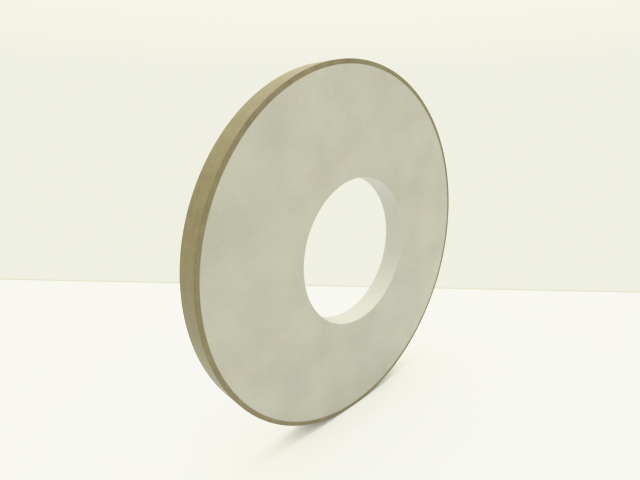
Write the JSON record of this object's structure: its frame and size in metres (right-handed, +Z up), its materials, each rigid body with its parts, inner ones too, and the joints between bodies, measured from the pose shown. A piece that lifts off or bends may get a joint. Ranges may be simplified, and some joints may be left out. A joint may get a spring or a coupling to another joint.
{
  "type": "diamond grinding wheel",
  "caption": "Straight grinding wheel: a flat grey disc with a large central bore and a thin, full-width rim of bonded diamond around its edge.",
  "frame": {"origin": "centre of the bore, midway between the two faces", "axes": "+Y along the spin axis, from the front face to the back face; +Z up when the wheel stands on its rim"},
  "size_m": [0.3048, 0.019, 0.3048],
  "materials": {
    "core_composite": "matte",
    "plain_bond": "matte",
    "diamond_bond": "satin"
  },
  "bodies": {
    "root": {"core": "core_composite", "backing_ring": "plain_bond", "diamond_rim": "diamond_bond"}
  },
  "joints": []
}
